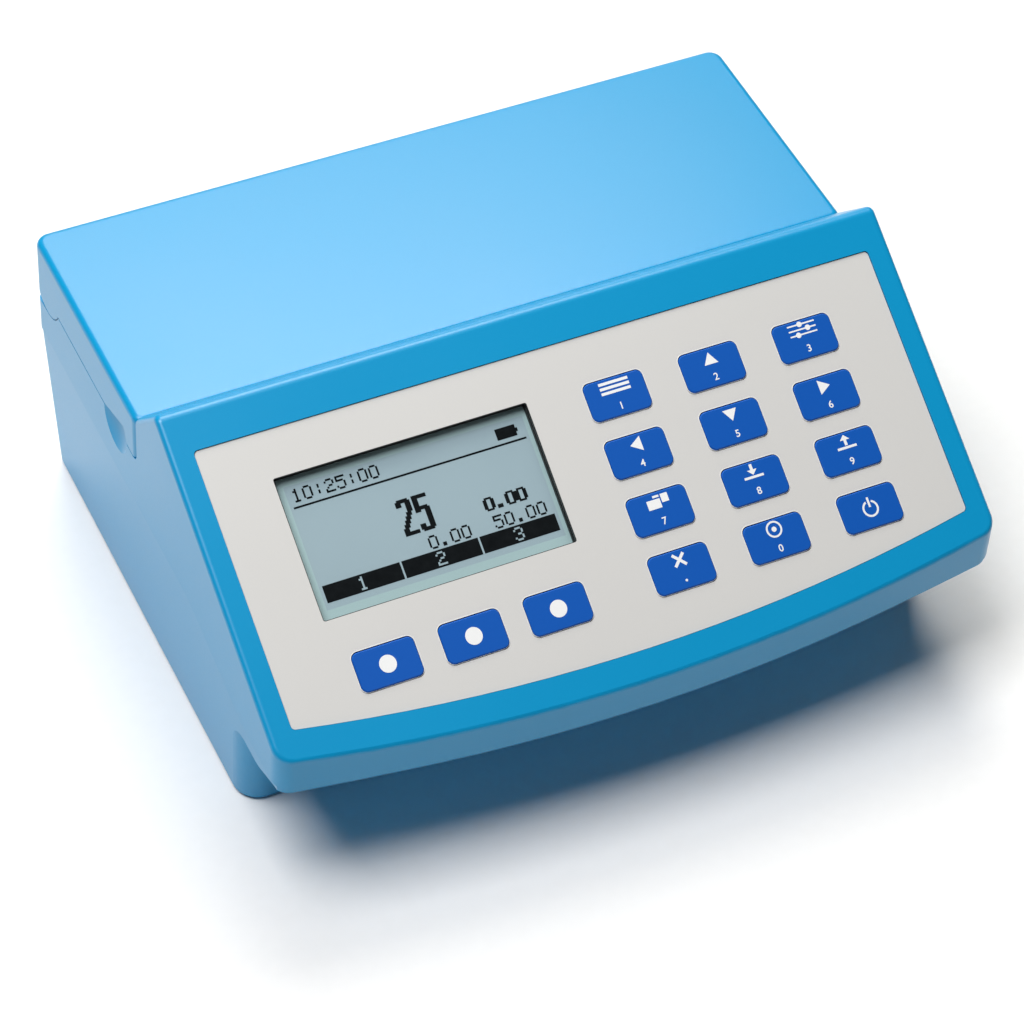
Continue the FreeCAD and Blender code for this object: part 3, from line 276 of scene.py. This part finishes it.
# -------------------------------------------------------------- optical block
# Machined black plastic block that holds lamps, filters, lens and both light detectors in line
# round the cuvette. The holder is a black tube that shows as a rim in the well.
black_plastic = moulded("black_plastic", (0.016, 0.016, 0.017), 0.42, 0.75, 0.0005, 0.00002)
dress("optical_block cuvette_holder filter_carrier display_frame", black_plastic)
dress("battery_cradle socket_plate", black_plastic)
resin = moulded("clear_resin", (0.72, 0.7, 0.6), 0.2, 0.9, 0.002, 0.00001,
                Transmission_Weight=0.5)
dress("light_emitters", resin)
filter_glass = Finish("coated_filter_glass", Roughness=0.08, Transmission_Weight=0.6)
filter_glass.set(Base_Color=filter_glass.between((0.35, 0.08, 0.5), (0.1, 0.35, 0.55),
                                                 filter_glass.cloud(0.006)))
dress("narrow_band_filters", filter_glass)
lens_glass = Finish("polished_glass", Roughness=0.03, Transmission_Weight=0.95, IOR=1.52)
lens_glass.set(Base_Color=lens_glass.between((0.9, 0.96, 0.94), (0.96, 1.0, 1.0),
                                             lens_glass.cloud(0.01)))
dress("focusing_lens beam_splitter", lens_glass)
detector = metal("detector_can", (0.66, 0.6, 0.42), 0.28)
dress("reference_detector measuring_detector", detector)

# --------------------------------------------------------------- battery pack
# Two round cells in blue shrink wrap lie in an open black cradle on the floor of the tub.
wrap = moulded("shrink_wrap", (0.02, 0.07, 0.3), 0.22, 0.8, 0.003, 0.00004, Coat_Weight=0.4)
dress("battery_pack", wrap)

# -------------------------------------------------------------------- sockets
# Bright tinned steel shells for the data and charging plugs and a black jack for the electrode,
# soldered on their own small board behind the insert plate of the back wall.
tinned = metal("tinned_steel", (0.75, 0.75, 0.74), 0.22, (1, 0.08, 1))
dress("usb_a_socket micro_usb_socket", tinned)
jack_black = moulded("jack_black", (0.012, 0.012, 0.012), 0.3, 0.8, 0.0006, 0.00001)
dress("electrode_jack", jack_black)

# -------------------------------------------------------------- upper housing
# The blue shell with the sloping panel, its rounded ridge, and the level deck under the lid.
dress("upper_housing", sky_blue)

# -------------------------------------------------------------------- display
# A reflective dot display: grey green glass over a white light guide, held by a black frame.
# Each lit dot is a black square half a millimetre wide, printed by the liquid crystal.
panel_origin = Vector((0, -0.002065, 0.09666))
panel_tilt = math.radians(30.4)
millimetre = 0.001


def on_panel(across, down, lift):
    """Place on the panel: x to the right, y up the slope, z out of it, all in millimetres."""
    turn = Matrix.Rotation(panel_tilt, 4, "X")
    return (Matrix.Translation(panel_origin) @ turn @ Matrix.Scale(millimetre, 4)
            @ Matrix.Translation((across, -down, lift)))


field_middle, field_reach = (-0.04345, -0.0356), (0.0333, 0.0143)
glass_grey = Finish("display_glass_grey", Roughness=0.4, Specular_IOR_Level=0.2)
mottle = glass_grey.cloud(0.02, 1.0)
cells = glass_grey.node("TexNoise", out="Fac", Vector=glass_grey.place, Scale=2500.0)
past_side, past_end = [
    abs(glass_grey.node("SeparateXYZ", out=axis, Vector=glass_grey.place) - middle) > reach
    for axis, middle, reach in zip("XY", field_middle, field_reach)]
field_tone = glass_grey.between((0.36, 0.46, 0.52), (0.40, 0.50, 0.56),
                                mottle * 0.7 + cells * 0.3)
glass_grey.set(Base_Color=glass_grey.between(field_tone, (0.43, 0.57, 0.59),
                                             past_side.or_more(past_end)))
dress("display_glass", glass_grey)
light_guide = moulded("light_guide_white", (0.8, 0.8, 0.78), 0.4, 0.95)
dress("display_backlight ribbon_headers", light_guide)

dot_pitch, dot_width, dot_thickness = 0.507, 0.504, 0.03
first_dot_across, first_dot_down = -75.65, 25.1
glass_lift, crystal_gap = -3.45, 0.01
digit_rows = {
    "0": "01110 10001 10001 10001 10001 10001 01110",
    "1": "00100 01100 00100 00100 00100 00100 01110",
    "2": "01110 10001 00001 00110 01000 10000 11111",
    "3": "01110 10001 00001 00110 00001 10001 01110",
    "5": "11111 10000 11110 00001 00001 10001 01110",
    ":": "00000 00100 00100 00000 00100 00100 00000",
    ".": "00000 00000 00000 00000 00000 01100 01100"}
tall_rows = {
    "2": "7E FF E7 E7 07 07 07 0E 0E 1C 1C 38 38 70 70 E0 E0 FF FF",
    "5": "FF FF E0 E0 E0 E0 FE FF E7 07 07 07 07 07 07 E7 E7 FF 7E"}


def digits(text, column, row):
    """Dots of a row of numerals, each five dots wide and seven high."""
    return {(column + place * 6 + x, row + y)
            for place, sign in enumerate(text) if sign in digit_rows
            for y, line in enumerate(digit_rows[sign].split())
            for x, bit in enumerate(line) if bit == "1"}


def tall_digits(text, column, row):
    """Dots of a row of bold numerals, each eight dots wide and nineteen high."""
    return {(column + place * 9 + x, row + y) for place, sign in enumerate(text)
            for y, line in enumerate(tall_rows[sign].split()) for x in range(8)
            if int(line, 16) >> (7 - x) & 1}


def area(column, row, wide, high):
    """Dots of a filled rectangle."""
    return {(x, y) for x in range(column, column + wide) for y in range(row, row + high)}


clock = digits("10:25:00", 1, 1)
battery_sign = area(113, 2, 11, 6) | area(124, 4, 1, 2)
header_line = area(0, 10, 128, 1)
reading = tall_digits("25", 50, 22)
bold_value = digits("0.00", 94, 34) | digits("0.00", 95, 34)
small_values = digits("0.00  50.00", 60, 44)
footer = area(0, 52, 128, 9) - area(42, 52, 1, 9) - area(85, 52, 1, 9)
for column, numeral in ((18, "1"), (61, "2"), (104, "3")):
    footer -= digits(numeral, column, 53)
lit = clock | battery_sign | header_line | reading | bold_value | small_values | footer

dot_black = Finish("lit_dot_black", Roughness=0.6, Specular_IOR_Level=0.0)
dot_black.set(Base_Color=dot_black.between((0.004, 0.005, 0.006), (0.012, 0.014, 0.016),
                                           dot_black.cloud(0.002)))


def dot_tree():
    """Sets one thin tile on every point."""
    tree = bpy.data.node_groups.new("dot_tiles", "GeometryNodeTree")
    tree.interface.new_socket("Geometry", in_out="INPUT", socket_type="NodeSocketGeometry")
    for name in ("Width", "Thickness"):
        tree.interface.new_socket(name, in_out="INPUT", socket_type="NodeSocketFloat")
    tree.interface.new_socket("Material", in_out="INPUT", socket_type="NodeSocketMaterial")
    tree.interface.new_socket("Geometry", in_out="OUTPUT", socket_type="NodeSocketGeometry")
    given, done = tree.nodes.new("NodeGroupInput"), tree.nodes.new("NodeGroupOutput")
    size = tree.nodes.new("ShaderNodeCombineXYZ")
    tile = tree.nodes.new("GeometryNodeMeshCube")
    spread = tree.nodes.new("GeometryNodeInstanceOnPoints")
    real = tree.nodes.new("GeometryNodeRealizeInstances")
    paint = tree.nodes.new("GeometryNodeSetMaterial")
    for here, there in ((given.outputs["Width"], size.inputs["X"]),
                        (given.outputs["Width"], size.inputs["Y"]),
                        (given.outputs["Thickness"], size.inputs["Z"]),
                        (size.outputs[0], tile.inputs["Size"]),
                        (given.outputs["Geometry"], spread.inputs["Points"]),
                        (tile.outputs["Mesh"], spread.inputs["Instance"]),
                        (spread.outputs[0], real.inputs[0]),
                        (real.outputs[0], paint.inputs["Geometry"]),
                        (given.outputs["Material"], paint.inputs["Material"]),
                        (paint.outputs[0], done.inputs[0])):
        tree.links.new(here, there)
    return tree


def evaluated_mesh(thing):
    """Mesh of an object as its modifiers or its text make it."""
    bpy.context.view_layer.update()
    view = bpy.context.evaluated_depsgraph_get()
    return bpy.data.meshes.new_from_object(thing.evaluated_get(view))


def grown(name, tree, points, **inputs):
    """Plain mesh of a tree that is run on a cloud of points."""
    seed = bpy.data.meshes.new(name + "_points")
    seed.from_pydata(points, [], [])
    thing = new_object(name, seed)
    modifier = thing.modifiers.new("tree", "NODES")
    modifier.node_group = tree
    for item in tree.interface.items_tree:
        if item.in_out == "INPUT" and item.name in inputs:
            modifier[item.identifier] = inputs[item.name]
    solid = evaluated_mesh(thing)
    thing.modifiers.remove(modifier)
    thing.data = solid
    return thing


dots = grown("display_dots", dot_tree(),
             [(x * dot_pitch, -y * dot_pitch, 0) for x, y in sorted(lit)],
             Width=dot_width, Thickness=dot_thickness, Material=dot_black.material)
dots.data.transform(on_panel(first_dot_across, first_dot_down,
                             glass_lift + dot_thickness / 2 + crystal_gap))
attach(dots, "base")

# -------------------------------------------------------------- black lining
# The opening over the display is edged in black: a strip of film in the label's opening, one in
# the housing's, and a border printed on the back of the pane.
opening_left, opening_bottom, opening_right, opening_top = -79.4, -60.4, -8.9, -21.9
film_gap, film_thickness, border_width = 0.02, 0.14, 1.5
outer_round, inner_round, border_round = 0.6, 0.46, 1.0
housing_strip, label_strip, border_print = (-3.38, -2.42), (-1.37, -0.43), (-2.39, -2.36)


def rounded_rectangle(left, bottom, right, top, radius, steps=6):
    """Outline with round corners, anticlockwise from the right."""
    points = []
    for x, y, start in ((right - radius, top - radius, 0), (left + radius, top - radius, 90),
                        (left + radius, bottom + radius, 180),
                        (right - radius, bottom + radius, 270)):
        for i in range(steps + 1):
            a = math.radians(start + 90 * i / steps)
            points.append((x + radius * math.cos(a), y + radius * math.sin(a)))
    return points


def opening_outline(inset, radius):
    """Outline of the display's opening, drawn in by the inset."""
    return rounded_rectangle(opening_left + inset, opening_bottom + inset,
                             opening_right - inset, opening_top - inset, radius)


def sleeve(form, outer, inner, low, high):
    """Closed tube between two outlines that have as many points."""
    rings = [[form.verts.new((x, y, z)) for x, y in ring]
             for ring, z in ((outer, low), (outer, high), (inner, high), (inner, low))]
    for here, there in zip(rings, rings[1:] + rings[:1]):
        for i in range(len(here)):
            j = (i + 1) % len(here)
            form.faces.new((here[i], here[j], there[j], there[i]))


def finished_mesh(name, form):
    """Mesh of a closed form, its faces turned outward."""
    bmesh.ops.recalc_face_normals(form, faces=form.faces)
    mesh = bpy.data.meshes.new(name)
    form.to_mesh(mesh)
    form.free()
    return mesh


lining_form = bmesh.new()
film_face = opening_outline(film_gap + film_thickness, inner_round)
for low, high in (housing_strip, label_strip):
    sleeve(lining_form, opening_outline(film_gap, outer_round), film_face, low, high)
sleeve(lining_form, opening_outline(film_gap - border_width, border_round), film_face,
       *border_print)
lining_mesh = finished_mesh("display_lining", lining_form)
lining_mesh.transform(on_panel(0, 0, 0))
film_black = moulded("black_film", (0.006, 0.007, 0.007), 0.5, 0.8, 0.0004, 0.000005)
lining_mesh.materials.append(film_black.material)
lining = new_object("display_lining", lining_mesh)
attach(lining, "base")

# --------------------------------------------------------------------- window
# A pane of clear polycarbonate in its own recess under the label, over the display.
# It mirrors the room at its outer faces only, and lets the rest of the light through.
clear = Finish("clear_window", Roughness=0.12)
mirror = clear.node("BsdfGlossy", Color=(1, 1, 1), Roughness=0.08)
through = clear.node("BsdfTransparent", Color=(0.97, 0.985, 0.985))
inner_side = clear.node("NewGeometry", out="Backfacing")
mirrored = clear.node("Fresnel", IOR=1.45) * (1 - inner_side)
pane = clear.node("MixShader", Fac=mirrored)
for tap, socket in ((through, pane.socket.node.inputs[1]), (mirror, pane.socket.node.inputs[2]),
                    (pane, clear.tree.nodes["Material Output"].inputs["Surface"])):
    feed(socket, tap)
dress("display_window", clear)

# ------------------------------------------------- keypad board, domes, ribbon
# The switch board behind the keys, with a steel snap dome for each key and a grey ribbon down to
# the main board.
dome_steel = metal("dome_steel", (0.7, 0.69, 0.66), 0.2, grain=0.002)
dress("key_domes", dome_steel)
ribbon_grey = moulded("ribbon_grey", (0.36, 0.36, 0.37), 0.5)
dress("ribbon_cable", ribbon_grey)

# ---------------------------------------------------------------------- label
# One sheet of printed matt polycarbonate film on a stiff backing, laid in the recess of the
# panel.
weave_size, shade_size, weave_depth = 0.0003, 0.05, 0.000008
label_grey = Finish("label_grey", Roughness=0.6)
weave = label_grey.cloud(weave_size, 1.0)
shade = label_grey.cloud(shade_size, 1.0)
label_grey.set(Base_Color=label_grey.between((0.60, 0.598, 0.588), (0.64, 0.636, 0.626),
                                             weave * 0.5 + shade * 0.5))
label_grey.relief(weave, weave_depth, 0.5)
dress("keypad_label", label_grey)

# ----------------------------------------------------------------------- keys
# Fifteen moulded keys in deep blue silicone, each free in its own opening of the label.
# Their signs are printed in white; the small numerals are for entering values.
key_blue = moulded("key_blue", (0.0, 0.09, 0.45), 0.5, 0.93, 0.0005, 0.000015,
                   Specular_IOR_Level=0.25)
sign_white = moulded("sign_white", (0.86, 0.87, 0.88), 0.5, 0.97)
sign_lift, print_thickness, print_step = 0.11, 0.02, 0.004
numeral_height, numeral_boldness, numeral_below = 1.9, 0.035, 2.9
letter_height_share = 0.7


def sign_mesh(name, shapes):
    """Flat outlines in millimetres, each with its thickness, a little more for each next one."""
    form = bmesh.new()
    for layer, shape in enumerate(shapes):
        face = form.faces.new([form.verts.new((x, y, 0)) for x, y in shape])
        raised = bmesh.ops.extrude_face_region(form, geom=[face])["geom"]
        bmesh.ops.translate(form, vec=(0, 0, print_thickness + layer * print_step),
                            verts=[v for v in raised if isinstance(v, bmesh.types.BMVert)])
    return finished_mesh(name, form)


def numeral_mesh(name, text):
    """A numeral of the plain built-in font, centred."""
    letters = bpy.data.curves.new(name, "FONT")
    letters.body = text
    letters.size = numeral_height / letter_height_share
    letters.align_x, letters.align_y = "CENTER", "CENTER"
    letters.extrude = print_thickness / 2
    letters.offset = numeral_boldness
    carrier = new_object(name + "_text", letters)
    raw = evaluated_mesh(carrier)
    bpy.data.objects.remove(carrier)
    form = bmesh.new()
    form.from_mesh(raw)
    bpy.data.meshes.remove(raw)
    bmesh.ops.remove_doubles(form, verts=form.verts, dist=0.001)
    bmesh.ops.translate(form, vec=(0, 0, print_thickness / 2), verts=form.verts)
    return finished_mesh(name, form)


def slab(left, bottom, right, top):
    """Outline of an upright rectangle."""
    return [(left, bottom), (right, bottom), (right, top), (left, top)]


def disc(x, y, radius, steps=40):
    """Outline of a round spot."""
    return [(x + radius * math.cos(a), y + radius * math.sin(a))
            for a in (2 * math.pi * i / steps for i in range(steps))]


def arc(x, y, inner, outer, start, end, steps):
    """Outline of a ring from one angle to another, in degrees."""
    turns = [math.radians(start + (end - start) * i / steps) for i in range(steps + 1)]
    ring = [(x + outer * math.cos(a), y + outer * math.sin(a)) for a in turns]
    return ring + [(x + inner * math.cos(a), y + inner * math.sin(a)) for a in reversed(turns)]


def stroke(x0, y0, x1, y1, thick):
    """Outline of a slanting bar between two points."""
    dx, dy = x1 - x0, y1 - y0
    k = thick / 2 / math.hypot(dx, dy)
    return [(x0 + dy * k, y0 - dx * k), (x1 + dy * k, y1 - dx * k),
            (x1 - dy * k, y1 + dx * k), (x0 - dy * k, y0 + dx * k)]


def key_place(key):
    """Middle of a key on the panel, across and down in millimetres."""
    low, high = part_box(key)
    middle = (low + high) / 2 - panel_origin
    down = -(middle.y * math.cos(panel_tilt) + middle.z * math.sin(panel_tilt))
    return middle.x / millimetre, down / millimetre


bar = slab(-2.8, 0.7, 2.8, 1.35)
spot = disc(0, 0, 2.3)
signs = {
    "key_r1_c1": ([slab(-4.2, y, 4.2, y + 0.75) for y in (0.9, 2.2, 3.5)], "1"),
    "key_r1_c2": ([[(-2.0, 0.7), (2.0, 0.7), (0, 3.9)]], "2"),
    "key_r1_c3": ([slab(-4.0, y, 4.0, y + 0.4) for y in (1.0, 2.4, 3.8)]
                  + [disc(x, y, 0.75, 20) for x, y in ((-1.6, 1.2), (1.6, 2.6), (-0.4, 4.0))],
                  "3"),
    "key_r2_c1": ([[(-1.7, 2.3), (1.5, 0.3), (1.5, 4.3)]], "4"),
    "key_r2_c2": ([[(-2.0, 3.9), (0, 0.7), (2.0, 3.9)]], "5"),
    "key_r2_c3": ([[(1.7, 2.3), (-1.5, 4.3), (-1.5, 0.3)]], "6"),
    "key_r3_c1": ([slab(-3.0, 0.7, 0.8, 3.2), slab(1.2, 1.9, 3.2, 4.2),
                   slab(-1.0, 3.6, 0.8, 4.2)], "7"),
    "key_r3_c2": ([bar, slab(-0.4, 2.6, 0.4, 4.5), [(-1.4, 3.0), (0, 1.6), (1.4, 3.0)]], "8"),
    "key_r3_c3": ([bar, slab(-0.4, 1.6, 0.4, 3.4), [(-1.4, 3.1), (1.4, 3.1), (0, 4.5)]], "9"),
    "key_r4_c1": ([stroke(-1.6, 0.8, 1.6, 4.0, 0.8), stroke(-1.6, 4.0, 1.6, 0.8, 0.8),
                   disc(0, -3.2, 0.35, 16)], ""),
    "key_r4_c2": ([arc(0, 2.4, 1.75, 2.25, 0, 359.9, 48), disc(0, 2.4, 0.7, 24)], "0"),
    "key_r4_c3": ([arc(0, -0.2, 1.75, 2.3, 112, 428, 40), slab(-0.3, 0.2, 0.3, 2.9)], ""),
    "soft_key_1": ([spot], ""), "soft_key_2": ([spot], ""), "soft_key_3": ([spot], "")}
for key, (shapes, numeral) in signs.items():
    place = on_panel(*key_place(key), sign_lift)
    printed = [("sign", sign_mesh(key + "_sign", shapes), 0)]
    if numeral:
        printed.append(("numeral", numeral_mesh(key + "_numeral", numeral), numeral_below))
    for kind, mesh, below in printed:
        mesh.transform(place @ Matrix.Translation((0, -below, 0)))
        mesh.materials.append(sign_white.material)
        piece = new_object(key + "_" + kind, mesh)
        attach(piece, key + "_body")
dress(" ".join(signs), key_blue)

# ------------------------------------------------------------------- key rims
# A slim collar sits in each opening of the label, so the gap at the key is fine; its pale colour
# is a painted highlight along the edge of each opening.
hole_width, hole_height, hole_round = 17.6, 11.1, 2.1
collar_gap, collar_reach, collar_back, collar_front = 0.012, 0.17, -1.37, -0.34


def hole_outline(across, down, inset):
    """Outline of a key's opening in the label, drawn in by the inset."""
    half_width, half_height = hole_width / 2 - inset, hole_height / 2 - inset
    return [(across + x, y - down) for x, y in
            rounded_rectangle(-half_width, -half_height, half_width, half_height,
                              hole_round - inset)]


rim_form = bmesh.new()
for key in signs:
    across, down = key_place(key)
    sleeve(rim_form, hole_outline(across, down, collar_gap),
           hole_outline(across, down, collar_reach), collar_back, collar_front)
rim_mesh = finished_mesh("key_rims", rim_form)
rim_mesh.transform(on_panel(0, 0, 0))
# Painted paler than the label: a painted highlight along the edge of each key's opening.
rim_painted_highlight = moulded("rim_painted_highlight", (0.86, 0.86, 0.85), 0.5, 0.96)
rim_mesh.materials.append(rim_painted_highlight.material)
rims = new_object("key_rims", rim_mesh)
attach(rims, "base")

# ------------------------------------------------------------------------ lid
# A deep hinged cover in the same blue plastic. A foam ring in it keeps light off the cuvette.
dress("lid", sky_blue)
foam = moulded("black_foam", (0.02, 0.02, 0.02), 0.9, 0.6, 0.0006, 0.0003)
dress("lid_light_seal", foam)
